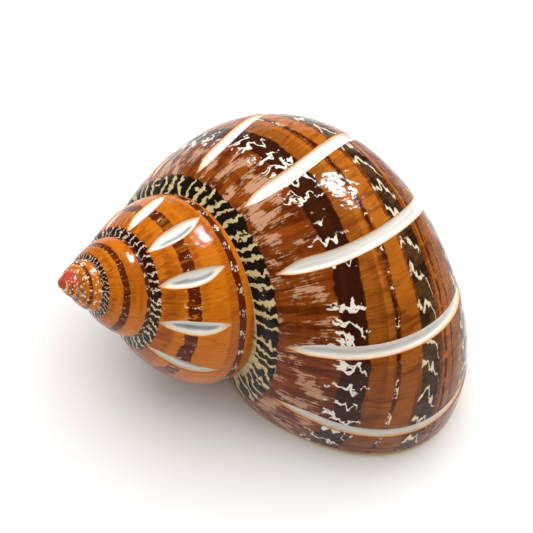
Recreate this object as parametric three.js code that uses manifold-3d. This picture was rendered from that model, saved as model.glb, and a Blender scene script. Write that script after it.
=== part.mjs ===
// A carved and polished turban shell, lying on its mouth.
// The tube of the shell winds about an axis and grows by the same ratio in each turn. Its mouth is bent
// down to one flat rim, which lies on the surface below. Millimetres, +Z up, the tip points to -X.

import * as THREE from 'three';
import { mergeVertices } from 'three/addons/utils/BufferGeometryUtils.js';
import Module from 'manifold-3d';

const wasm = await Module();
wasm.setup();

// The winding. Sizes are those at the lip, and one turn back each is smaller by whorlGrowth.
const whorlGrowth = 1.914;
const tipRadius = 0.9;
const tubeOut = 10.6; // centre of the tube, out from the axis
const tubeDown = 41.5; // and down from the tip
const tubeHalfLength = 20.8;
const tubeHalfWidth = 16.2;
const tubeTilt = THREE.MathUtils.degToRad(33.3);
const tubeSquareness = 2.43; // 2 is an ellipse
const dropTurns = 0.76; // the last part of the last whorl sinks away from the spire
const dropDepth = 6.1;
const axisGap = 0.6; // the sections stop this far from the axis, and the pillar fills the middle
const pillar = { from: 1.6, to: 47, slope: 0.045 }; // down from the tip, and radius over distance

// How it lies: the tip is lifted off the surface, swung towards the front, and the mouth rolled down.
const tipLift = THREE.MathUtils.degToRad(24.7);
const tipSwing = THREE.MathUtils.degToRad(19.8);
const mouthRoll = THREE.MathUtils.degToRad(-137);
const tipHeight = 27.4;

// The mouth. A growth line is named by its place round the section: 0 is the base, 90 is the
// outermost, 180 is towards the tip.
const outerLipFrom = -40; // the outer lip runs from here to outerLipTo, on its own growth lines
const outerLipTo = 128;
const innerLipBow = [new THREE.Vector3(20.5, 14, 0), new THREE.Vector3(52, 23, 0)];
const mouthBlend = 0.3; // turns over which the tube bends to its lip
const outerLipWidth = 2.6;
const innerLipExtra = 2.6; // added on the side of the columella
const wallShare = 0.13; // wall of the tube, as a share of its half size
const columella = 3; // radius left solid about the axis at the lip
const hollowTurns = 0.62;

// The carved grooves, one every tenth of a turn. The newer ones run over the body, the older ones are
// short slits on the whorl above it.
const grooveCount = 16;
const bodyGrooves = 9;
const grooveSpacing = 0.0985;
const lastGroove = -0.087;
const grooveSlant = 0.0007; // turns for each degree towards the base
const groove = { width: 1.7, depth: 0.9, above: 1, steps: 9 };
const bodyGrooveSpan = [106, -30];
const slitSpan = [110, 62];

// How finely it is faceted. The tube is made in stretches too short to meet themselves, and no two
// whorls share the plane of a ring.
const linesRound = 40;
const spireStretches = 9;
const stretchTurns = 4 / 9;
const stretchSteps = 9;
const plugInset = 0.3;
const mouthFrom = -0.5; // the last stretch runs from here to the lip
const mouthSteps = 17;
const hollowSteps = 15;

const lay = new THREE.Matrix4()
  .makeRotationZ(tipSwing)
  .multiply(new THREE.Matrix4().makeRotationY(tipLift - Math.PI / 2))
  .multiply(new THREE.Matrix4().makeRotationZ(mouthRoll))
  .setPosition(0, 0, tipHeight);

const signedPower = (value, power) => Math.sign(value) * Math.abs(value) ** power;

// The section at the lip, as distance out from the axis and height from the tip.
function sectionPoint(degrees, inset) {
  const angle = THREE.MathUtils.degToRad(degrees);
  const along = tubeHalfLength * (1 - inset) * signedPower(Math.cos(angle), 2 / tubeSquareness);
  const across = tubeHalfWidth * (1 - inset) * signedPower(Math.sin(angle), 2 / tubeSquareness);
  return {
    out: tubeOut + along * Math.sin(tubeTilt) + across * Math.cos(tubeTilt),
    down: tubeDown + along * Math.cos(tubeTilt) - across * Math.sin(tubeTilt),
  };
}

// A point of the winding tube. Turn 0 is at the lip, and earlier turns are negative.
function tubePoint(turn, degrees, inset = 0, clearOfAxis = axisGap) {
  const size = whorlGrowth ** turn;
  const { out, down } = sectionPoint(degrees, inset);
  const drop = dropDepth * Math.max(0, 1 + turn / dropTurns) ** 2;
  const angle = -2 * Math.PI * turn;
  const radius = Math.max(out, clearOfAxis) * size;
  return new THREE.Vector3(radius * Math.cos(angle), radius * Math.sin(angle), -(down + drop) * size)
    .applyMatrix4(lay);
}

// The turn at which a growth line of the outer lip comes down to the surface.
function landingTurn(degrees) {
  let above = -0.2;
  let below = 0.2;
  for (let step = 0; step < 40; step += 1) {
    const middle = (above + below) / 2;
    if (tubePoint(middle, degrees).z > 0) {
      above = middle;
    } else {
      below = middle;
    }
  }
  return above;
}

const cornerTop = tubePoint(landingTurn(outerLipTo), outerLipTo).setZ(0);
const cornerBase = tubePoint(landingTurn(outerLipFrom), outerLipFrom).setZ(0);
const innerLip = new THREE.CubicBezierCurve3(cornerTop, ...innerLipBow, cornerBase);

// Where a growth line ends: its last turn and its place on the rim.
function lipEnd(degrees) {
  const fromTop = THREE.MathUtils.euclideanModulo(degrees - outerLipTo, 360);
  const innerSpan = outerLipFrom + 360 - outerLipTo;
  if (fromTop > innerSpan) {
    const turn = landingTurn(degrees);
    return { turn, place: tubePoint(turn, degrees).setZ(0), inner: 0 };
  }
  const share = fromTop / innerSpan;
  const turn = THREE.MathUtils.lerp(landingTurn(outerLipTo), landingTurn(outerLipFrom), share);
  return { turn, place: innerLip.getPoint(share), inner: Math.sin(Math.PI * share) };
}

const lines = Array.from({ length: linesRound }, (_, line) => {
  const degrees = (360 * line) / linesRound;
  return { degrees, ...lipEnd(degrees) };
});
const mouthCentre = lines.reduce((sum, line) => sum.add(line.place), new THREE.Vector3())
  .divideScalar(linesRound);

// The last stretch of the tube bends so that every growth line ends on the rim.
function bentPoint(line, turn, inset, clearOfAxis, rimPlace) {
  const share = THREE.MathUtils.smoothstep(turn, line.turn - mouthBlend, line.turn);
  const miss = rimPlace.clone().sub(tubePoint(line.turn, line.degrees, inset, clearOfAxis));
  return tubePoint(turn, line.degrees, inset, clearOfAxis).addScaledVector(miss, share);
}

function outerPoint(degrees, turn) {
  const line = { degrees, ...lipEnd(degrees) };
  return bentPoint(line, turn, 0, axisGap, line.place);
}

function hollowRimPlace(line) {
  const width = outerLipWidth + innerLipExtra * line.inner;
  const inward = mouthCentre.clone().sub(line.place).setLength(width);
  return line.place.clone().add(inward);
}

// A closed solid through rings of equally many points, with flat ends.
function loft(rings) {
  const count = rings[0].length;
  const points = rings.flat();
  const faces = [];
  for (let ring = 0; ring + 1 < rings.length; ring += 1) {
    for (let side = 0; side < count; side += 1) {
      const next = (side + 1) % count;
      const [a, b] = [ring * count + side, ring * count + next];
      faces.push(a, b, b + count, a, b + count, a + count);
    }
  }
  [0, rings.length - 1].forEach((ring) => {
    const centre = rings[ring].reduce((sum, point) => sum.add(point), new THREE.Vector3())
      .divideScalar(count);
    points.push(centre);
    for (let side = 0; side < count; side += 1) {
      const [a, b] = [ring * count + side, ring * count + ((side + 1) % count)];
      faces.push(points.length - 1, ...(ring === 0 ? [b, a] : [a, b]));
    }
  });
  const geometry = new THREE.BufferGeometry().setFromPoints(points);
  geometry.setIndex(faces);
  return geometry;
}

function toSolid(geometry) {
  geometry.deleteAttribute('normal');
  geometry.deleteAttribute('uv');
  const merged = mergeVertices(geometry, 1e-5);
  return new wasm.Manifold(new wasm.Mesh({
    numProp: 3,
    vertProperties: new Float32Array(merged.attributes.position.array),
    triVerts: new Uint32Array(merged.index.array),
  }));
}

function toGeometry(solid) {
  const mesh = solid.getMesh();
  const geometry = new THREE.BufferGeometry();
  geometry.setAttribute('position', new THREE.BufferAttribute(mesh.vertProperties, 3));
  geometry.setIndex(new THREE.BufferAttribute(mesh.triVerts, 1));
  return geometry;
}

// Just under half a turn of the early whorls, with a plug that reaches into the next stretch.
function spireStretch(from) {
  const ring = (turn, inset) => lines.map((line) => tubePoint(turn, line.degrees, inset, axisGap));
  const stepTurns = stretchTurns / stretchSteps;
  const rings = Array.from({ length: stretchSteps + 1 }, (_, step) => ring(from + stepTurns * step, 0));
  return loft([...rings, ring(from + stretchTurns + stepTurns / 2, plugInset)]);
}

function mouthStretch() {
  return loft(Array.from({ length: mouthSteps + 1 }, (_, step) => lines.map((line) => {
    const turn = THREE.MathUtils.lerp(mouthFrom, line.turn, step / mouthSteps);
    return bentPoint(line, turn, 0, axisGap, line.place);
  })));
}

function hollow() {
  const rings = Array.from({ length: hollowSteps + 1 }, (_, step) => lines.map((line) => {
    const share = step / hollowSteps;
    const turn = THREE.MathUtils.lerp(-hollowTurns, line.turn, share);
    const closing = (1 - wallShare) * Math.max(0, 1 - share / 0.25) ** 2;
    return bentPoint(line, turn, wallShare + closing, columella, hollowRimPlace(line));
  }));
  const below = lines.map((line) => hollowRimPlace(line).setZ(-3));
  return loft([...rings, below]);
}

// A wedge that runs across the whorl, with its edge in the shell and pointed at both ends.
function grooveCutter(number) {
  const first = lastGroove - grooveSpacing * number;
  const [top, end] = number < bodyGrooves ? bodyGrooveSpan : slitSpan;
  return loft(Array.from({ length: groove.steps + 1 }, (_, step) => {
    const share = step / groove.steps;
    const degrees = THREE.MathUtils.lerp(top, end, share);
    const turn = first - grooveSlant * (top - degrees);
    const middle = outerPoint(degrees, turn);
    const onward = outerPoint(degrees, turn + 0.002).sub(middle).normalize();
    const towardsBase = outerPoint(degrees - 1, turn).sub(middle).normalize();
    const outward = towardsBase.clone().cross(onward).normalize();
    const fullness = Math.max(0.06, Math.sin(Math.PI * share)) ** 0.6;
    const depth = groove.depth * fullness;
    const half = (groove.width / 2) * fullness * (1 + groove.above / depth);
    const raised = middle.clone().addScaledVector(outward, groove.above);
    return [
      raised.clone().addScaledVector(onward, -half),
      middle.clone().addScaledVector(outward, -depth),
      raised.clone().addScaledVector(onward, half),
    ];
  }));
}

// The solid pillar that the whorls wind round.
function pillarShape() {
  const length = pillar.to - pillar.from;
  const shape = new THREE.CylinderGeometry(pillar.from * pillar.slope, pillar.to * pillar.slope, length, 12);
  shape.rotateX(Math.PI / 2).translate(0, 0, -(pillar.from + pillar.to) / 2);
  return shape.applyMatrix4(lay);
}

function tipShape() {
  return new THREE.SphereGeometry(tipRadius, 12, 8).translate(0, 0, -1.75).applyMatrix4(lay);
}

function buildShell() {
  let solid = toSolid(pillarShape()).add(toSolid(tipShape()));
  for (let stretch = 0; stretch < spireStretches; stretch += 1) {
    solid = solid.add(toSolid(spireStretch(mouthFrom - (stretch + 1) * stretchTurns)));
  }
  let mouth = toSolid(mouthStretch()).subtract(toSolid(hollow()));
  for (let number = 0; number < grooveCount; number += 1) {
    const cutter = toSolid(grooveCutter(number));
    if (number < bodyGrooves) {
      mouth = mouth.subtract(cutter);
    }
    solid = solid.subtract(cutter);
  }
  const pieces = solid.add(mouth).decompose();
  pieces.sort((one, other) => other.volume() - one.volume());
  return toGeometry(pieces[0]);
}

const shell = new THREE.Mesh(
  buildShell(),
  new THREE.MeshStandardMaterial({ color: 0x9c5420, roughness: 0.25, metalness: 0 }),
);
shell.name = 'shell';
const box = new THREE.Box3().setFromObject(shell);
shell.position.set(-(box.min.x + box.max.x) / 2, -(box.min.y + box.max.y) / 2, 0);

const part = new THREE.Group();
part.add(shell);
export default part;
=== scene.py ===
import math

import bpy
import numpy as np
from mathutils import Matrix, Vector


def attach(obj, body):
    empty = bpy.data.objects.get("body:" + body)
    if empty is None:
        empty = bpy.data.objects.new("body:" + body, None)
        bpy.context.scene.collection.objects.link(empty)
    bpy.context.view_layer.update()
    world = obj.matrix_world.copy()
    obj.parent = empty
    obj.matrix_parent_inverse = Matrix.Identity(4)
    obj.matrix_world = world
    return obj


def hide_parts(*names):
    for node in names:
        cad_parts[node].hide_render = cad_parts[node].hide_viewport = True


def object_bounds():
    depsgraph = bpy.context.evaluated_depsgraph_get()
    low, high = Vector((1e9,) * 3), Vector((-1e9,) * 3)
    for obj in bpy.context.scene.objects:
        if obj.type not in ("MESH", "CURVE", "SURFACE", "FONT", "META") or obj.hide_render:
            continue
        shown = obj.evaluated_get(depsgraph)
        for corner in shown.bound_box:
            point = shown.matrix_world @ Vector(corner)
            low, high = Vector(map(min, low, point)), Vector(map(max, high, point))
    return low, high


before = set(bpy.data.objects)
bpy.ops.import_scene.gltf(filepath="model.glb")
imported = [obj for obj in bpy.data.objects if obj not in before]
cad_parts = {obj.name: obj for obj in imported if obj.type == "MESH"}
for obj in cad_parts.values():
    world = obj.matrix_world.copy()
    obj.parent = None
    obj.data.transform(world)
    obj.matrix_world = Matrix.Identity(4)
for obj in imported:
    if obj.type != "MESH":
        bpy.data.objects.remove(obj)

cadLow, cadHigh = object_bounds()

# metres throughout; turns count from the lip, so the older whorls are at negative turns
winding = {
    "growth": 1.914,  # every size after one more turn
    "tubeOut": 0.0106,  # middle of the tube, out from the axis
    "tubeDown": 0.0415,  # and down from the tip
    "tubeHalfLength": 0.0208,
    "tubeHalfWidth": 0.0162,
    "tubeTilt": 33.3,
    "squareness": 2.43,  # 2 is an ellipse
    "dropTurns": 0.76,  # the last part sinks away from the spire
    "dropDepth": 0.0061,
    "axisGap": 0.6e-3,
    "suture": 123.5,  # where a whorl leaves the one before, in degrees round the tube
    "channelDepth": 0.75e-3,  # a shallow channel runs under the suture
    "channelHalf": 13,  # degrees to each side of the suture
    "channelFade": 0.12,  # turns in which it comes in behind the lip
    "channelGrowth": 0.8,
}
lying = {"tipLift": 24.7, "tipSwing": 19.8, "mouthRoll": -137, "tipHeight": 0.0274}
mouth = {
    "from": -40,  # growth lines of the outer lip, in degrees round the tube
    "to": 128,
    "bow": [(0.0205, 0.014), (0.052, 0.023)],  # handles of the inner lip's curve
    "blendTurns": 0.3,
    "lipWidth": 2.5e-3,
    "innerExtra": 2.6e-3,
    "lipRound": 1.1e-3,
    "radius": 0.022,  # of the winding at the lip
    "wall": 0.13,
    "columella": 3e-3,
    "hollowTurns": 0.62,
    "shutFrom": 0.25,  # the last share of the hollow, where it closes
    "hollowMarks": 10,  # the lip map counts this far into the hollow
    "searchTurns": 0.2,  # the lip lies within this of turn 0
    "searchSteps": 36,
}
carving = {
    "count": 16,
    "bodyCount": 9,
    "spacing": 0.0985,
    "last": -0.087,
    "slant": 0.0007,  # turns for each degree towards the base
    "slantFrom": 104,  # the degree where a growth line has its own turn
    "bodyWidth": 2.15e-3,
    "slitWidth": 2.3e-3,
    "depth": 0.85e-3,
    "topTaper": 0.12,  # shares of a groove's length in which it narrows
    "baseTaper": 0.3,
    "slitPoint": 0.9,
    "roundness": 2.6,  # of the bottom of the cut
    "leastWidth": 0.22,  # rows stay this far apart past the pointed ends
    "leastRadius": 6e-3,
    "bodySpan": (107, -32),
    "slitSpan": (113, 57.5),
}
sheetSize = {
    "seam": 200,  # the hidden side of the tube, where the sheet is joined
    "shownColumns": 76,
    "topColumns": 8,
    "baseColumns": 10,
    "pastTop": 4,  # degrees by which the shown columns reach past the lip's growth lines
    "pastBase": 30,
    "leanTop": 2,  # and by which the lean does
    "leanBase": 20,
    "tipTurn": -4.5,
    "rowsPerTurn": 40,
    "rowsBetweenGrooves": 7,
    "rowsToLip": 14,
    "crowdLip": 1.3,
    "lipRows": 9,
    "hollowRows": 34,
}
farAcross = 3.0  # a row that belongs to no groove
acrossGroove = (-1.9, -1.35, -1.08, -1.0, -0.93, -0.72, -0.4, 0, 0.4, 0.72, 0.93, 1.0, 1.08, 1.35, 1.9)


def clearSelection():
    for thing in bpy.context.selected_objects:
        thing.select_set(False)
    bpy.context.view_layer.objects.active = None


def signedPower(value, power):
    return np.sign(value) * np.abs(value) ** power


def turnAbout(axis, degrees):
    c, s = math.cos(math.radians(degrees)), math.sin(math.radians(degrees))
    if axis == "Z":
        return np.array([[c, -s, 0], [s, c, 0], [0, 0, 1]])
    return np.array([[c, 0, s], [0, 1, 0], [-s, 0, c]])


layDown = (
    turnAbout("Z", lying["tipSwing"])
    @ turnAbout("Y", lying["tipLift"] - 90)
    @ turnAbout("Z", lying["mouthRoll"])
)


def tubePlace(turn, degrees, inset=0.0, clearOfAxis=winding["axisGap"]):
    # a place on the winding tube; an inset of 0 is its outside and 1 its middle
    turn, degrees = np.broadcast_arrays(np.asarray(turn, float), np.asarray(degrees, float))
    tilt, angle = math.radians(winding["tubeTilt"]), np.radians(degrees)
    power = 2 / winding["squareness"]
    along = winding["tubeHalfLength"] * (1 - inset) * signedPower(np.cos(angle), power)
    across = winding["tubeHalfWidth"] * (1 - inset) * signedPower(np.sin(angle), power)
    out = winding["tubeOut"] + along * math.sin(tilt) + across * math.cos(tilt)
    down = winding["tubeDown"] + along * math.cos(tilt) - across * math.sin(tilt)
    size = winding["growth"] ** turn
    drop = winding["dropDepth"] * np.maximum(0, 1 + turn / winding["dropTurns"]) ** 2
    radius, spin = np.maximum(out, clearOfAxis) * size, -2 * math.pi * turn
    place = np.stack([radius * np.cos(spin), radius * np.sin(spin), -(down + drop) * size], -1)
    return place @ layDown.T + np.array([0, 0, lying["tipHeight"]])


def landingTurn(degrees):
    # where the underside of the tube meets the floor, found by halving
    above = np.full(np.shape(degrees), -mouth["searchTurns"])
    below = np.full(np.shape(degrees), mouth["searchTurns"])
    for _ in range(mouth["searchSteps"]):
        middle = (above + below) / 2
        high = tubePlace(middle, degrees)[..., 2] > 0
        above, below = np.where(high, middle, above), np.where(high, below, middle)
    return above


def lipLine(degrees):
    # the turn and place where each growth line ends, and how much it belongs to the inner lip
    top, base = landingTurn(np.array([mouth["to"], mouth["from"]], float))
    corners = tubePlace(np.array([top, base]), np.array([mouth["to"], mouth["from"]], float))
    fromTop = np.mod(degrees - mouth["to"], 360)
    innerSpan = mouth["from"] + 360 - mouth["to"]
    share = np.clip(fromTop / innerSpan, 0, 1)
    inner = (fromTop <= innerSpan) & (fromTop > 0)
    handles = [corners[0], *[np.array([*handle, 0]) for handle in mouth["bow"]], corners[1]]
    weights = [(1 - share) ** 3, 3 * share * (1 - share) ** 2, 3 * share**2 * (1 - share), share**3]
    curve = sum(weight[..., None] * handle for weight, handle in zip(weights, handles))
    outerTurn = landingTurn(degrees)
    turn = np.where(inner, top + (base - top) * share, outerTurn)
    place = np.where(inner[..., None], curve, tubePlace(outerTurn, degrees))
    place[..., 2] = 0
    return turn, place, np.where(inner, np.sin(math.pi * share), 0)


def bentPlace(turn, degrees, endTurn, endPlace, inset, clearOfAxis):
    # the tube, drawn over its last part to meet the lip
    share = np.clip((turn - endTurn) / mouth["blendTurns"] + 1, 0, 1)
    share = share * share * (3 - 2 * share)
    miss = endPlace - tubePlace(endTurn, degrees, inset=inset, clearOfAxis=clearOfAxis)
    return tubePlace(turn, degrees, inset, clearOfAxis) + miss * share[..., None]


def grooveFullness(number, degrees):
    # 1 where the groove has its whole width, 0 past its pointed ends
    top, end = carving["bodySpan"] if number < carving["bodyCount"] else carving["slitSpan"]
    share = np.clip((top - degrees) / (top - end), 0, 1)
    if number < carving["bodyCount"]:
        topEnd = 1 - (1 - np.clip(share / carving["topTaper"], 0, 1)) ** 2
        baseEnd = 1 - (1 - np.clip((1 - share) / carving["baseTaper"], 0, 1)) ** 2
        return topEnd * baseEnd
    return np.sin(math.pi * share) ** carving["slitPoint"]


def leanAt(degree):
    return carving["slant"] * (degree - carving["slantFrom"])


def growthLean(degrees):
    # the lean of the growth lines, which turns back on the hidden side so that the sheet's edges meet
    shown = np.array([mouth["from"] - sheetSize["leanBase"], mouth["to"] + sheetSize["leanTop"]], float)
    hidden = 360 - shown[1] + shown[0]
    first, last = leanAt(shown[0]), leanAt(shown[1])
    seamLean = last + (first - last) * (sheetSize["seam"] - shown[1]) / hidden
    stops = [sheetSize["seam"] - 360, shown[0], shown[1], sheetSize["seam"]]
    return np.interp(degrees, stops, [seamLean, first, last, seamLean])


def grooveTurns(number, degrees):
    # the middle of a groove and half its width, both in turns
    middle = carving["last"] - carving["spacing"] * number + growthLean(degrees)
    width = carving["bodyWidth"] if number < carving["bodyCount"] else carving["slitWidth"]
    flat = tubePlace(middle, degrees) - np.array([0, 0, lying["tipHeight"]])
    radius = np.linalg.norm(np.cross(flat, layDown[:, 2]), axis=-1)
    shape = np.maximum(grooveFullness(number, degrees), carving["leastWidth"])
    wayRound = 2 * math.pi * np.maximum(radius, carving["leastRadius"])
    return middle, width / 2 * shape / wayRound


def sheetRows(degrees):
    # every row of the sheet as its turns, its place across a groove and its share of the depth
    rows = []
    far = np.full(len(degrees), farAcross)
    none = np.zeros(len(degrees))
    lip = lipLine(degrees)[0]
    count = carving["count"]
    middle, half = grooveTurns(count - 1, degrees)
    start = middle + acrossGroove[0] * half
    tipStart = sheetSize["tipTurn"] + growthLean(degrees)
    tipRows = int((start.mean() - tipStart.mean()) * sheetSize["rowsPerTurn"])
    for row in range(tipRows):
        rows.append((tipStart + (start - tipStart) * row / tipRows, far, none))
    for number in reversed(range(count)):
        middle, half = grooveTurns(number, degrees)
        fullness = grooveFullness(number, degrees)
        for across in acrossGroove:
            deep = fullness * max(0, 1 - abs(across) ** carving["roundness"])
            rows.append((middle + across * half, np.full(len(degrees), float(across)), deep))
        end = rows[-1][0]
        if number > 0:
            nextMiddle, nextHalf = grooveTurns(number - 1, degrees)
            goal = nextMiddle + acrossGroove[0] * nextHalf
            steps = sheetSize["rowsBetweenGrooves"]
            for step in range(1, steps + 1):
                rows.append((end + (goal - end) * step / (steps + 1), far, none))
    steps = sheetSize["rowsToLip"]
    for step in range(1, steps + 1):
        share = 1 - (1 - step / steps) ** sheetSize["crowdLip"]
        rows.append((end + (lip - end) * share, far, none))
    return rows


def sheetOutward(places):
    # the direction out of the sheet at each of its places
    along = np.gradient(places, axis=0)
    around = np.gradient(places, axis=1)
    around[:, 0] = around[:, -1] = places[:, 1] - places[:, 0] + places[:, -1] - places[:, -2]
    outward = np.cross(along, around)
    return outward / np.maximum(np.linalg.norm(outward, axis=-1, keepdims=True), 1e-12)


def windSheet():
    # the outside, the rounded lip and the hollow, one after another as rows of one sheet
    top, base = mouth["to"] + sheetSize["pastTop"], mouth["from"] - sheetSize["pastBase"]
    shown = np.linspace(top, base, sheetSize["shownColumns"])
    hiddenTop = np.linspace(sheetSize["seam"], shown[0], sheetSize["topColumns"])[:-1]
    hiddenBase = np.linspace(shown[-1], sheetSize["seam"] - 360, sheetSize["baseColumns"])[1:]
    degrees = np.concatenate([hiddenTop, shown, hiddenBase])
    lipTurn, lipPlace, inner = lipLine(degrees)
    crest = np.array([0, 0, mouth["lipRound"]])
    rows = sheetRows(degrees)
    turns = np.array([row[0] for row in rows])
    across = np.array([row[1] for row in rows])
    depth = np.array([row[2] for row in rows])
    around, ends = degrees[None], lipTurn[None]
    outside = bentPlace(turns, around, ends, (lipPlace + crest)[None], 0.0, winding["axisGap"])
    outward = sheetOutward(outside)
    near = np.clip(1 - np.abs(degrees - winding["suture"]) / winding["channelHalf"], 0, 1)
    channel = near * near * (3 - 2 * near) * np.clip((lipTurn - turns) / winding["channelFade"], 0, 1)
    channel = channel * winding["growth"] ** (turns * winding["channelGrowth"])
    outside -= outward * (depth * carving["depth"] + channel * winding["channelDepth"])[..., None]

    middle = lipPlace.mean(0)
    inward = middle - lipPlace
    inward /= np.linalg.norm(inward, axis=-1, keepdims=True)
    width = mouth["lipWidth"] + mouth["innerExtra"] * inner
    rimInside = lipPlace + inward * width[:, None]
    angle = np.linspace(0, math.pi, sheetSize["lipRows"] + 2)[1:, None, None]
    lip = lipPlace + (rimInside - lipPlace) * (1 - np.cos(angle)) / 2
    lip = lip + crest * (1 - np.sin(angle))

    share = np.linspace(1, 0, sheetSize["hollowRows"] + 1)[1:, None]
    hollowTurn = -mouth["hollowTurns"] + (lipTurn + mouth["hollowTurns"]) * share
    inset = mouth["wall"] + (1 - mouth["wall"]) * np.clip(1 - share / mouth["shutFrom"], 0, 1) ** 2
    hollow = bentPlace(hollowTurn, around, ends, (rimInside + crest)[None], inset, mouth["columella"])

    places = np.concatenate([outside, lip, hollow])
    flatRows, flatColumns = len(hollow) + len(lip), len(degrees)
    # the maps that the finish follows: place on the tube, across the grooves, and from the lip in mm
    distance = (ends - turns) * 2 * math.pi * mouth["radius"]
    lipPart = -np.broadcast_to(np.linspace(0, 1, len(lip))[:, None], (len(lip), flatColumns))
    hollowPart = -1 - np.broadcast_to((1 - share) * mouth["hollowMarks"], (len(hollow), flatColumns))
    maps = {
        "wound": (
            np.concatenate([turns, np.broadcast_to(lipTurn, (flatRows, flatColumns))]),
            np.broadcast_to(degrees, (len(places), flatColumns)),
        ),
        "carved": (
            np.concatenate([across, np.full((flatRows, flatColumns), farAcross)]),
            np.concatenate([depth, np.zeros((flatRows, flatColumns))]),
        ),
        "lip": (
            np.concatenate([distance * 1000, lipPart, hollowPart]),
            np.broadcast_to(inner, (len(places), flatColumns)),
        ),
    }
    return places, maps


def closeSheet(shell):
    # the two long edges meet on the hidden side, and both ends of the tube are shut
    bpy.ops.object.mode_set(mode="EDIT")
    bpy.ops.mesh.select_mode(type="VERT")
    bpy.ops.mesh.select_all(action="SELECT")
    bpy.ops.mesh.remove_doubles(threshold=1e-7)
    bpy.ops.mesh.select_all(action="DESELECT")
    bpy.ops.mesh.select_non_manifold()
    bpy.ops.mesh.edge_face_add()
    bpy.ops.mesh.select_all(action="SELECT")
    bpy.ops.mesh.normals_make_consistent(inside=False)
    bpy.ops.object.mode_set(mode="OBJECT")
    print("sheet closed", len(shell.data.vertices), len(shell.data.polygons))


def makeSheet():
    places, maps = windSheet()
    rows, columns = places.shape[:2]
    clearSelection()
    bpy.ops.mesh.primitive_grid_add(x_subdivisions=columns - 1, y_subdivisions=rows - 1, size=1)
    shell = bpy.context.object
    shell.name = "carvedShell"
    mesh = shell.data
    flat = np.zeros(len(mesh.vertices) * 3)
    mesh.vertices.foreach_get("co", flat)
    flat = flat.reshape(-1, 3)
    column = np.rint((flat[:, 0] + 0.5) * (columns - 1)).astype(int)
    row = np.rint((flat[:, 1] + 0.5) * (rows - 1)).astype(int)
    mesh.vertices.foreach_set("co", places[row, column].ravel())
    corners = np.zeros(len(mesh.loops), int)
    mesh.loops.foreach_get("vertex_index", corners)
    while mesh.uv_layers:
        mesh.uv_layers.remove(mesh.uv_layers[0])
    for name, (first, second) in maps.items():
        layer = mesh.uv_layers.new(name=name)
        pairs = np.stack([first[row, column], second[row, column]], -1)
        layer.uv.foreach_set("vector", pairs[corners].ravel())
    print("sheet wound", rows, columns)
    closeSheet(shell)
    return shell


core = {
    "tipBall": 0.95e-3,
    "tipDown": 1.85e-3,  # middle of the ball, below the tip
    "pillarFrom": 1.6e-3,  # the pillar fills the axis, from here down
    "pillarTo": 47e-3,
    "pillarSlope": 0.045,
    "segments": 24,
    "rings": 14,
    "smoothAngle": 38,
    "mapped": {"wound": (-4.6, 100), "carved": (farAcross, 0), "lip": (100, 0)},
    "turnPerMetre": 60,
    "degreePerMetre": 9000,
}


def joinCore(shell, piece):
    # the piece is turned from the coiling axis to the way the shell lies, then made one with it
    mesh = piece.data
    upright = np.array([piece.matrix_world @ vertex.co for vertex in mesh.vertices])
    for vertex, place in zip(mesh.vertices, upright):
        vertex.co = Vector(layDown @ place) + Vector((0, 0, lying["tipHeight"]))
    piece.location = (0, 0, 0)
    while mesh.uv_layers:
        mesh.uv_layers.remove(mesh.uv_layers[0])
    for name, value in core["mapped"].items():
        layer = mesh.uv_layers.new(name=name)
        layer.uv.foreach_set("vector", list(value) * len(mesh.loops))
    # the marks of the tip need a map that varies
    for loop in mesh.loops:
        place = upright[loop.vertex_index]
        spread = Vector((place[0] * core["turnPerMetre"], place[1] * core["degreePerMetre"]))
        mesh.uv_layers["wound"].uv[loop.index].vector += spread
    join = shell.modifiers.new("join", "BOOLEAN")
    join.operation = "UNION"
    join.solver = "EXACT"
    join.use_self = True
    join.object = piece
    clearSelection()
    shell.select_set(True)
    bpy.context.view_layer.objects.active = shell
    bpy.ops.object.modifier_apply(modifier="join")
    bpy.data.objects.remove(piece)


def makeShell():
    shell = makeSheet()
    clearSelection()
    bpy.ops.mesh.primitive_uv_sphere_add(
        segments=core["segments"],
        ring_count=core["rings"],
        radius=core["tipBall"],
        location=(0, 0, -core["tipDown"]),
    )
    ball = bpy.context.object
    clearSelection()
    bpy.ops.mesh.primitive_cone_add(
        vertices=core["segments"],
        radius1=core["pillarTo"] * core["pillarSlope"],
        radius2=core["pillarFrom"] * core["pillarSlope"],
        depth=core["pillarTo"] - core["pillarFrom"],
        location=(0, 0, -(core["pillarTo"] + core["pillarFrom"]) / 2),
    )
    pillar = bpy.context.object
    clearSelection()
    ball.select_set(True)
    pillar.select_set(True)
    bpy.context.view_layer.objects.active = pillar
    bpy.ops.object.transform_apply(location=True)
    bpy.ops.object.join()
    joinCore(shell, pillar)
    print("shell made one with its core", len(shell.data.polygons))
    # the middle of the shell's box is brought to the middle of the frame's, and nothing may reach past it
    low = np.array([min(vertex.co[axis] for vertex in shell.data.vertices) for axis in range(3)])
    high = np.array([max(vertex.co[axis] for vertex in shell.data.vertices) for axis in range(3)])
    shift = np.array((cadLow + cadHigh) / 2) - (low + high) / 2
    print("box of the shell in mm", np.round((high - low) * 1000, 2), "moved", np.round(shift * 1000, 3))
    trim = np.minimum(np.array(cadHigh - cadLow) / (high - low), 1)
    middle = np.array((cadLow + cadHigh) / 2)
    for vertex in shell.data.vertices:
        vertex.co = Vector((np.array(vertex.co) + shift - middle) * trim + middle)
    clearSelection()
    shell.select_set(True)
    bpy.context.view_layer.objects.active = shell
    bpy.ops.object.shade_smooth_by_angle(angle=math.radians(core["smoothAngle"]))
    return shell


shell = makeShell()


def tint(code):
    # a colour code to the linear colour the shader wants
    parts = [int(code[at : at + 2], 16) / 255 for at in (1, 3, 5)]
    return (*[part / 12.92 if part <= 0.04045 else ((part + 0.055) / 1.055) ** 2.4 for part in parts], 1)


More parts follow.
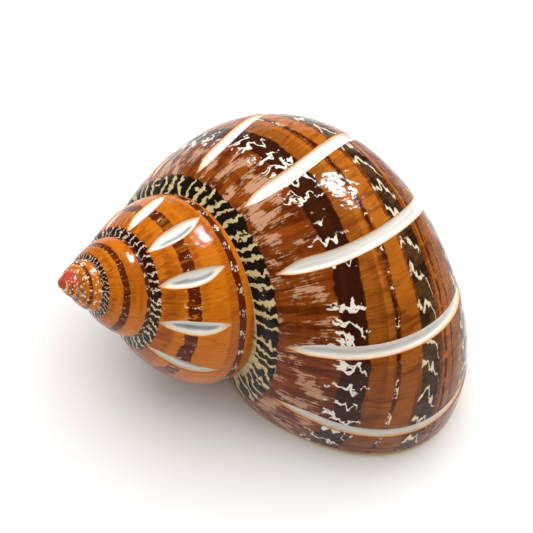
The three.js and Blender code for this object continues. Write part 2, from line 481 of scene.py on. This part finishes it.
class Shade:
    # a socket of a material; arithmetic on it adds the Math nodes
    def __init__(self, tree, socket=None):
        self.tree = tree
        self.socket = socket

    def node(self, kind, settings, sockets, output=0):
        made = self.tree.nodes.new(kind)
        for name, value in settings.items():
            setattr(made, name, value)
        self.fill(made, sockets)
        return Shade(self.tree, made.outputs[output])

    def fill(self, node, sockets):
        for key, value in sockets.items():
            if isinstance(value, Shade):
                self.tree.links.new(value.socket, node.inputs[key])
            else:
                node.inputs[key].default_value = value

    def math(self, operation, *values, clamp=False):
        settings = {"operation": operation, "use_clamp": clamp}
        return self.node("ShaderNodeMath", settings, dict(enumerate(values)))

    def __add__(self, other):
        return self.math("ADD", self, other)

    def __sub__(self, other):
        return self.math("SUBTRACT", self, other)

    def __rsub__(self, other):
        return self.math("SUBTRACT", other, self)

    def __mul__(self, other):
        return self.math("MULTIPLY", self, other)

    def __abs__(self):
        return self.math("ABSOLUTE", self)

    __radd__ = __add__
    __rmul__ = __mul__

    def rise(self, start, end):
        # 0 before start, 1 past end, smooth between; a start above the end falls instead
        low, high = min(start, end), max(start, end)
        sockets = {0: self, 1: low, 2: high, 3: float(start > end), 4: float(start < end)}
        return self.node("ShaderNodeMapRange", {"interpolation_type": "SMOOTHSTEP"}, sockets)

    def clip(self):
        return self.math("ADD", self, 0, clamp=True)

    def within(self, low, high, soft):
        return self.rise(low - soft, low + soft) * self.rise(high + soft, high - soft)

    def fold(self):
        # 0 at whole numbers, 1 half way between them
        return self.math("PINGPONG", self, 0.5) * 2

    def over(self, under, colour):
        # this mask lays a colour over another
        def entry(value):
            return value if isinstance(value, Shade) else tint(value)

        sockets = {0: self, 6: entry(under), 7: entry(colour)}
        return self.node("ShaderNodeMix", {"data_type": "RGBA", "clamp_factor": True}, sockets, 2)

    def spot(self, second, third=0.0):
        return self.node("ShaderNodeCombineXYZ", {}, {0: self, 1: second, 2: third})

    def cloud(self, size, detail=2.0, rough=0.5, twist=0.0):
        # noise with lumps of about this size; its middle half is spread over 0 to 1
        sockets = {"Vector": self, "Scale": 1 / size}
        sockets.update({"Detail": detail, "Roughness": rough, "Distortion": twist})
        raw = self.node("ShaderNodeTexNoise", {"noise_dimensions": "3D"}, sockets)
        spread = {0: raw, 1: 0.25, 2: 0.75, 3: 0.0, 4: 1.0}
        return self.node("ShaderNodeMapRange", {"clamp": True}, spread)


skin = {
    "turnLength": 138,  # mm round the last whorl, so that a pattern is as wide as it is long
    "degreeLength": 0.32,
    "spireOchre": "#C86C0E",
    "spireDeep": "#9C4708",
    "spireLight": "#DF8828",
    "bodyOchre": "#B26216",
    "bodyDeep": "#72320A",
    "bodyLight": "#C87F32",
    "bodyMiddle": "#94500F",
    "russet": "#82380A",
    "russetDark": "#561F05",
    "maroon": "#301005",
    "soot": "#1C130A",
    "bark": "#533A22",
    "blush": "#CF9E7C",
    "cream": "#E9D3B4",
    "straw": "#D3BF8A",
    "white": "#F1E6D6",
    "coral": "#C9463A",
    "hemSinks": 14,  # degrees
    "dashesPerTurn": 48,
    "oldDashesPerTurn": 40,
    "zigzagsPerTurn": 44,
    "boltMiddle": 84,  # degrees
    "archesPerTurn": 36,
    "archMiddle": 50,
    "ticksPerTurn": 40,
    "hemTicksPerTurn": 27,
    "beadsPerTurn": 30,
    "baseDashesPerTurn": 46,
}
# degrees round the tube where each band starts and ends, and how soft its edges are
bands = {
    "spireBand": (84.5, 91.5, 0.4),
    "spireTicks": (84, 93.5, 0.4),
    "spireRusset": (99, 111, 1.5),
    "hem": (50, 58.5, 0.4),
    "hemTicks": (50, 58, 0.5),
    "ochreStrip": (55.5, 64.5, 0.4),
    "upperBrown": (71, 78.5, 0.4),
    "lowerBrown": (20, 30, 0.5),
    "russetShoulder": (87, 114, 2.0),
    "blush": (91, 111.5, 1.0),
    "darkBelt": (78.5, 88.5, 0.5),
    "lightning": (79.5, 90, 0.8),
    "beadThread": (65.2, 66.8, 0.25),
    "beads": (65.0, 67.0, 0.3),
    "middleThread": (36, 38, 0.3),
    "lowerThread": (30.5, 31.8, 0.25),
    "barkBelt": (42, 53.5, 0.5),
    "arches": (43, 53.5, 0.8),
    "palePatches": (-1, 11, 0.8),
}
dashBelts = ((16, 3.6), (-4, 3), (-21, 3.6))  # the middle and half width of the belts near the base
cut = {"edge": "#B9601E", "warm": "#EBC79C", "nacre": "#F3EFE6", "shadow": "#7F8388"}
rim = {
    "line": "#C58A3C",
    "pale": "#E6DAA2",
    "enamel": "#EFE6D6",
    "olive": "#5F5F26",
    "leaf": "#A9A43A",
    "pearl": "#E2DFDC",
    "throat": "#D9C4AC",
    "throatShade": "#7A4C1E",
}
polish = {
    "roughness": 0.05,
    "nacreRough": 0.2,  # these three are added to it
    "rimRough": 0.08,
    "grownRough": 0.04,
    "mirror": 0.14,
    "relief": 2.6e-4,
    "reliefStrength": 0.8,
    "calming": 0.95,  # the relief shrinks with the whorls
}


def growthMarks(turn, degree):
    # the noises that the markings share; they lie along the growth lines
    growth = turn - carving["slant"] * (degree - carving["slantFrom"])
    along, across = growth * skin["turnLength"], degree * skin["degreeLength"]
    flat = along.spot(across)
    drift = flat.cloud(4.5, 2.0) - 0.5
    edge = degree + drift * 2.2 + (flat.cloud(0.8, 2.0) - 0.5) * 0.9
    jag = flat.cloud(0.9, 2.0, 0.6) - 0.5
    patch = (along * 0.75).spot(across * 0.45, 7.0).cloud(1.7, 4.0, 0.62)
    stria = (along * 4.0).spot(across * 0.25, 3.0).cloud(1.0, 3.0, 0.6)
    broken = flat.cloud(1.7, 4.0, 0.65, 0.6)
    tone = (along * 0.03).spot(across * 0.55, 11.0).cloud(1.0, 1.0, 0.5)
    sway = (along * 0.3).spot(across * 0.85, 41.0).cloud(1.0, 1.0, 0.5) - 0.5
    flame = (along * 0.9).spot(across * 0.16, 5.0).cloud(1.3, 3.0, 0.6)
    worn = (along * 0.3).spot(across * 0.4, 53.0).cloud(1.3, 3.0, 0.6)
    return {
        "turn": turn,
        "degree": degree,
        "along": along,
        "across": across,
        "drift": drift,
        "edge": edge,
        "jag": jag,
        "patch": patch,
        "stria": stria,
        "broken": broken,
        "tone": tone,
        "sway": sway,
        "flame": flame,
        "worn": worn,
    }


def spireColour(turn, along, across, edge, jag, patch, stria, broken, flame, worn, **others):
    calm = (along * 0.03).spot(across * 0.2, 19.0).cloud(1.0, 1.0, 0.5)
    spire = (calm.rise(0.45, 0.75) * 0.7).over(skin["spireOchre"], skin["spireDeep"])
    spire = (stria.rise(0.35, 0.9) * 0.5).over(spire, skin["spireLight"])
    spire = (stria.rise(0.4, 0.1) * 0.4).over(spire, skin["spireDeep"])
    spire = (flame.rise(0.6, 0.85) * 0.45).over(spire, skin["spireDeep"])
    band = edge.within(*bands["spireBand"]) * patch.rise(0.1, 0.2) * flame.rise(-0.3, 0.55)
    spire = band.over(spire, skin["russetDark"])
    ticks = (turn * skin["ticksPerTurn"] + jag * 0.5).fold().rise(0.12, 0.05) * broken.rise(0.55, 0.65)
    spire = (edge.within(*bands["spireTicks"]) * ticks).over(spire, skin["cream"])
    spire = (edge.within(*bands["spireRusset"]) * flame.rise(0.35, 0.7) * 0.6).over(spire, skin["russet"])
    # the hem above the next suture follows the last whorl down
    sunk = (turn * (1 / winding["dropTurns"]) + (1 + 1 / winding["dropTurns"])).clip()
    hemEdge = edge + sunk * sunk * skin["hemSinks"]
    spire = hemEdge.within(*bands["hem"]).over(spire, skin["russetDark"])
    hem = (turn * skin["hemTicksPerTurn"] + jag * 0.6).fold().rise(0.2, 0.1)
    spire = (hem * hemEdge.within(*bands["hemTicks"]) * broken.rise(0.3, 0.5)).over(spire, skin["cream"])
    spire = (turn.rise(-2.4, -3.1) * worn.rise(0.6, 0.7)).over(spire, skin["cream"])
    return spire


def bodyGround(turn, along, across, drift, edge, jag, stria, broken, tone, flame, **others):
    body = tone.rise(0.4, 0.6).over(skin["bodyOchre"], skin["bodyDeep"])
    body = edge.within(*bands["ochreStrip"]).over(body, skin["bodyOchre"])
    body = (edge.within(*bands["upperBrown"]) * 0.8).over(body, skin["bodyMiddle"])
    body = (edge.within(*bands["lowerBrown"]) * 0.7).over(body, skin["bodyMiddle"])
    body = (stria.rise(0.4, 0.95) * 0.4).over(body, skin["bodyLight"])
    body = (stria.rise(0.45, 0.1) * 0.45).over(body, skin["bodyDeep"])
    body = (flame.rise(0.5, 0.85) * 0.7).over(body, skin["bodyDeep"])
    body = ((turn + drift * 0.12).rise(-0.34, -0.04) * 0.62).over(body, skin["russetDark"])
    flamed = flame.rise(0.3, 0.7).over(skin["russet"], skin["russetDark"])
    body = (edge.within(*bands["russetShoulder"]) * 0.8).over(body, flamed)
    # cloudy blush on the shoulder, hatched by the growth lines
    cloudy = (along * 0.6).spot(across * 0.42, 29.0).cloud(1.5, 4.0, 0.6, 0.4)
    blotch = cloudy * 0.8 + broken * 0.2 + (stria - 0.5) * 0.38
    shoulder = (edge + jag * 4).within(*bands["blush"])
    body = (shoulder * blotch.rise(0.53, 0.65) * 0.78).over(body, skin["blush"])
    return body


def darkBelt(body, turn, degree, along, across, drift, edge, jag, sway, **others):
    # with pale lightning
    body = (edge.within(*bands["darkBelt"]) * 0.95).over(body, skin["maroon"])
    cluster = (along * 0.3).spot(across * 0.05, 17.0).cloud(1.6, 2.0)
    lean = (cluster - 0.5) * (degree - skin["boltMiddle"]) * 0.12
    bolt = turn * skin["zigzagsPerTurn"] + sway * 0.9 + jag * 0.3 + lean
    fork = degree.rise(84, 90) * cluster.rise(0.3, 0.8) * 0.45
    thick = 0.1 + degree.rise(79, 90) * 0.11 + jag * 0.25
    bolt = (abs(bolt.fold() - fork) - thick).rise(0.05, -0.05) * (edge + jag * 9).within(*bands["lightning"])
    body = (bolt * (cluster + drift * 0.4).rise(0.26, 0.34)).over(body, skin["white"])
    return body


def darkThreads(body, turn, degree, edge, jag, patch, broken, **others):
    # one of them has pale beads
    thread = edge.within(*bands["beadThread"]) + edge.within(*bands["lowerThread"])
    thread = thread + edge.within(*bands["middleThread"])
    body = (thread * broken.rise(0.25, 0.45) * 0.85).over(body, skin["maroon"])
    bead = (turn * skin["beadsPerTurn"] + jag * 0.8).fold().rise(0.17, 0.09) * degree.within(*bands["beads"])
    body = (bead * patch.rise(0.35, 0.5)).over(body, skin["cream"])
    return body


def barkBelt(body, turn, degree, edge, jag, patch, stria, broken, sway, **others):
    # with arched marks
    bark = (patch * 0.6 + stria * 0.4).rise(0.3, 0.7).over(skin["soot"], skin["bark"])
    body = (edge.within(*bands["barkBelt"]) * 0.95).over(body, bark)
    bowed = (degree - skin["archMiddle"]) * (degree - skin["archMiddle"]) * 0.011
    arch = turn * skin["archesPerTurn"] - bowed + jag * 0.2 + sway * 0.55
    arch = (arch.fold() + (skin["archMiddle"] - degree) * 0.012).rise(0.24, 0.12)
    arch = arch * (degree + jag * 4).within(*bands["arches"]) * broken.rise(0.22, 0.34)
    body = arch.over(body, skin["cream"])
    return body


def baseBelts(body, turn, degree, edge, jag, patch, stria, broken, flame, **others):
    # belts of dashes, and pale patches towards the foot of the pillar
    for middle, half in dashBelts:
        body = (edge.within(middle - half, middle + half, 0.4) * 0.95).over(body, skin["soot"])
        mark = turn * skin["baseDashesPerTurn"] + abs(degree - middle) * 0.1 + jag * 0.7
        mark = mark.fold().rise(0.42, 0.22) * (degree + jag * 3).within(middle - half, middle + half, 0.5)
        body = (mark * broken.rise(0.42, 0.52)).over(body, skin["straw"])
    pale = (edge + jag * 3).within(*bands["palePatches"]) * (patch * 0.7 + broken * 0.3).rise(0.5, 0.56)
    pale = pale + edge.rise(-27, -33) * (flame * 0.6 + stria * 0.2 + patch * 0.2).rise(0.48, 0.66)
    body = (pale * 0.9).over(body, skin["cream"])
    return body


def sutureBelt(colour, turn, degree, drift, edge, jag, patch, broken, sway, **others):
    # wavy dashes under the suture, and a pale line along the suture that is a painted highlight
    later = turn + 0.95
    more = later.math("MAXIMUM", later, 0) * (skin["dashesPerTurn"] - skin["oldDashesPerTurn"])
    dash = turn * skin["oldDashesPerTurn"] + more + drift + sway * 0.4 + jag * 0.35
    young = turn.rise(-1.3, -0.95)
    dash = dash.fold() + (1 - young) * 0.14
    belt = (edge + broken * 2.5).rise(111.0, 112.0) * (turn + jag * 0.2).rise(-3.3, -2.9)
    colour = belt.over(colour, young.over(skin["maroon"], skin["soot"]))
    dashes = (dash + (broken - 0.5) * 0.3).rise(0.4, 0.26) * (edge + broken * 3).rise(111.0, 112.5)
    straw = young.over(skin["cream"], skin["straw"])
    colour = (dashes * patch.rise(0.1, 0.2) * belt).over(colour, straw)
    # painted highlight: a broken pale line just under the suture, where its edge catches the light
    colour = (degree.rise(122.4, 123.0) * broken.rise(0.25, 0.4) * 0.8).over(colour, skin["straw"])
    return colour


def wornTip(colour, turn, degree, worn, **others):
    coral = (worn.rise(0.35, 0.6) * 0.6).over(skin["coral"], skin["spireDeep"])
    colour = (turn + (worn - 0.5) * 0.3).rise(-4.2, -4.35).over(colour, coral)
    pale = turn.within(-4.35, -3.4, 0.1) * degree.rise(115, 118) * worn.rise(0.3, 0.5)
    colour = pale.over(colour, skin["cream"])
    return colour


def skinColour(marks):
    # the painted layer of the shell; the bands follow the whorls and the flecks follow the growth lines
    body = bodyGround(**marks)
    for painted in (darkBelt, darkThreads, barkBelt, baseBelts):
        body = painted(body, **marks)
    colour = (marks["turn"] + marks["jag"] * 0.1).rise(-1.12, -0.82).over(spireColour(**marks), body)
    return wornTip(sutureBelt(colour, **marks), **marks)


def cutColour(colour, turn, acrossCut, cutDepth, broken, patch):
    # a thin burnt line where the wheel went through the colour, then white nacre
    fleck = (broken - 0.5) * 0.08
    colour = (cutDepth + fleck * 0.3).rise(0.005, 0.05).over(colour, cut["edge"])
    colour = (cutDepth + fleck).rise(0.06, 0.24).over(colour, cut["warm"])
    nacre = (cutDepth + fleck).rise(0.2, 0.62)
    colour = nacre.over(colour, cut["nacre"])
    slit = turn.rise(-0.8, -0.9)
    # painted shadow and dark reflection: a grey streak down the deep middle of the cuts, strongest in the
    # spire slits
    slitShadowStreak = (acrossCut - 0.2 + (patch - 0.5) * 0.22).within(-0.26, 0.26, 0.2) * cutDepth.rise(0.55, 0.8)
    colour = (slitShadowStreak * (slit * 0.5 + 0.2 + patch * 0.2)).over(colour, cut["shadow"])
    return colour, nacre


def lipColour(colour, turn, degree, lip, inner, broken, patch):
    # the older whorl that shows inside the mouth is glazed over
    colour = (degree.rise(9, 6) * turn.rise(-0.85, -0.88)).over(colour, rim["enamel"])

    # the lip: a coloured outer line, cream enamel, and a green glaze on the inner lip
    outerLip = 1 - inner.rise(0.02, 0.2)
    edgeLine = (lip + (broken - 0.5) * 0.4).rise(0.5, 0.1) * outerLip
    colour = (edgeLine * 0.85).over(colour, rim["line"])
    glazed = (lip + (patch - 0.5) * 3).rise(4.5, 3.0) * inner.rise(0.15, 0.4)
    colour = (glazed * 0.75).over(colour, rim["olive"])
    onRim = lip.rise(0.02, -0.02)
    plain = (lip + (broken - 0.5) * 0.1).rise(-0.06, -0.16).over(rim["line"], rim["pale"])
    plain = lip.rise(-0.2, -0.5).over(plain, rim["enamel"])
    glaze = (lip + (broken - 0.5) * 0.2).rise(-0.1, -0.36).over(rim["olive"], rim["leaf"])
    glaze = (lip + (patch - 0.5) * 0.12).rise(-0.42, -0.7).over(glaze, rim["pearl"])
    ring = inner.rise(0.05, 0.45).over(plain, glaze)
    ring = lip.rise(-0.9, -1.1).over(ring, rim["enamel"])
    throat = lip.rise(-1.2, -4.5).over(ring, rim["throat"])
    # painted shade: the hollow turns brown further in, where the light does not reach
    throat = lip.rise(-4.0, -9.5).over(throat, rim["throatShade"])
    return onRim.over(colour, throat), onRim


def shellFinish():
    material = bpy.data.materials.new("polishedShell")
    material.use_nodes = True
    tree = material.node_tree
    start = Shade(tree)

    def mapped(name):
        placed = start.node("ShaderNodeUVMap", {"uv_map": name}, {})
        return [start.node("ShaderNodeSeparateXYZ", {}, {0: placed}, axis) for axis in range(2)]

    turn, degree = mapped("wound")
    acrossCut, cutDepth = mapped("carved")
    lip, inner = mapped("lip")
    marks = growthMarks(turn, degree)
    stria, broken, patch = marks["stria"], marks["broken"], marks["patch"]
    colour, nacre = cutColour(skinColour(marks), turn, acrossCut, cutDepth, broken, patch)
    colour, onRim = lipColour(colour, turn, degree, lip, inner, broken, patch)

    smooth = (1 - onRim) * (1 - nacre)
    lumps = (turn * skin["turnLength"]).spot(degree * (skin["degreeLength"] * 0.55), 23.0)
    calmer = start.math("POWER", winding["growth"], turn * polish["calming"])
    height = (stria * 0.06 + broken * 0.12 + lumps.cloud(1.8, 2.0) * 0.8) * calmer
    relief = {"Strength": polish["reliefStrength"], "Distance": polish["relief"], "Height": height * smooth}
    rough = polish["roughness"] + nacre * polish["nacreRough"] + onRim * polish["rimRough"]
    sockets = {
        "Base Color": colour,
        "Roughness": rough + stria.rise(0.2, 0.9) * polish["grownRough"],
        "Normal": start.node("ShaderNodeBump", {}, relief),
        "Specular IOR Level": polish["mirror"],
    }
    start.fill(tree.nodes["Principled BSDF"], sockets)
    print("finish made", len(tree.nodes), "nodes")
    return material


shell.data.materials.clear()
shell.data.materials.append(shellFinish())
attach(shell, "root")
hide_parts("shell")

floorFinish = {"size": 3.0, "colour": (0.97, 0.965, 0.96, 1), "roughness": 0.9, "mirror": 0.1}


def makeFloor():
    clearSelection()
    bpy.ops.mesh.primitive_plane_add(size=floorFinish["size"], location=(0, 0, 0))
    floor = bpy.context.object
    floor.name = "paleFloor"
    material = bpy.data.materials.new("paleFloor")
    material.use_nodes = True
    surface = material.node_tree.nodes["Principled BSDF"]
    surface.inputs["Base Color"].default_value = floorFinish["colour"]
    surface.inputs["Roughness"].default_value = floorFinish["roughness"]
    surface.inputs["Specular IOR Level"].default_value = floorFinish["mirror"]
    floor.data.materials.append(material)
    print("floor laid")


makeFloor()

# the big lamps light the shell, and the narrow panes are seen only as reflections in its polish
lamps = {
    "sky": {"place": (0.12, 0.38, 0.82), "size": (1.6, 1.6), "power": 13.5, "mirrored": False},
    "ceiling": {"place": (0, 0, 1.1), "size": (2.4, 2.4), "power": 13.0, "mirrored": False},
    "leftPane": {"place": (0.12, 0.27, 0.56), "size": (0.018, 0.11), "power": 6.0, "mirrored": True},
    "middlePane": {"place": (0.152, 0.285, 0.56), "size": (0.012, 0.09), "power": 3.3, "mirrored": True},
    "rightPane": {"place": (0.182, 0.26, 0.56), "size": (0.016, 0.12), "power": 5.8, "mirrored": True},
}
room = {"colour": (1, 1, 1, 1), "strength": 0.15}


def makeLamps():
    middle = (cadLow + cadHigh) / 2
    for name, lamp in lamps.items():
        data = bpy.data.lights.new(name, "AREA")
        data.shape = "RECTANGLE"
        data.size, data.size_y = lamp["size"]
        data.energy = lamp["power"]
        holder = bpy.data.objects.new(name, data)
        bpy.context.collection.objects.link(holder)
        holder.visible_glossy = lamp["mirrored"]
        holder.visible_diffuse = not lamp["mirrored"]
        holder.location = lamp["place"]
        holder.rotation_euler = (middle - holder.location).to_track_quat("-Z", "Y").to_euler()
    world = bpy.data.worlds.new("room")
    world.use_nodes = True
    world.node_tree.nodes["Background"].inputs["Color"].default_value = room["colour"]
    world.node_tree.nodes["Background"].inputs["Strength"].default_value = room["strength"]
    bpy.context.scene.world = world
    print("lamps hung", len(lamps))


makeLamps()

camera = {
    "elevation": 60.6,
    "azimuth": -7.75,
    "roll": 7,
    "distance": 0.54,
    "seenWidth": 0.0715,
    "nearest": 0.01,
}


def makeCamera():
    middle = (cadLow + cadHigh) / 2
    lift, swing, roll = [math.radians(camera[name]) for name in ("elevation", "azimuth", "roll")]
    data = bpy.data.cameras.new("camera")
    data.lens = data.sensor_width * camera["distance"] / camera["seenWidth"]
    data.clip_start = camera["nearest"]
    holder = bpy.data.objects.new("camera", data)
    bpy.context.collection.objects.link(holder)
    back = Vector((math.sin(swing) * math.cos(lift), -math.cos(swing) * math.cos(lift), math.sin(lift)))
    level = Vector((math.cos(swing), math.sin(swing), 0))
    right = level * math.cos(roll) + back.cross(level) * math.sin(roll)
    holder.location = middle + back * camera["distance"]
    holder.rotation_euler = Matrix((right, back.cross(right), back)).transposed().to_euler()
    bpy.context.scene.camera = holder
    bpy.context.scene.view_settings.view_transform = "Standard"
    print("camera set")


makeCamera()
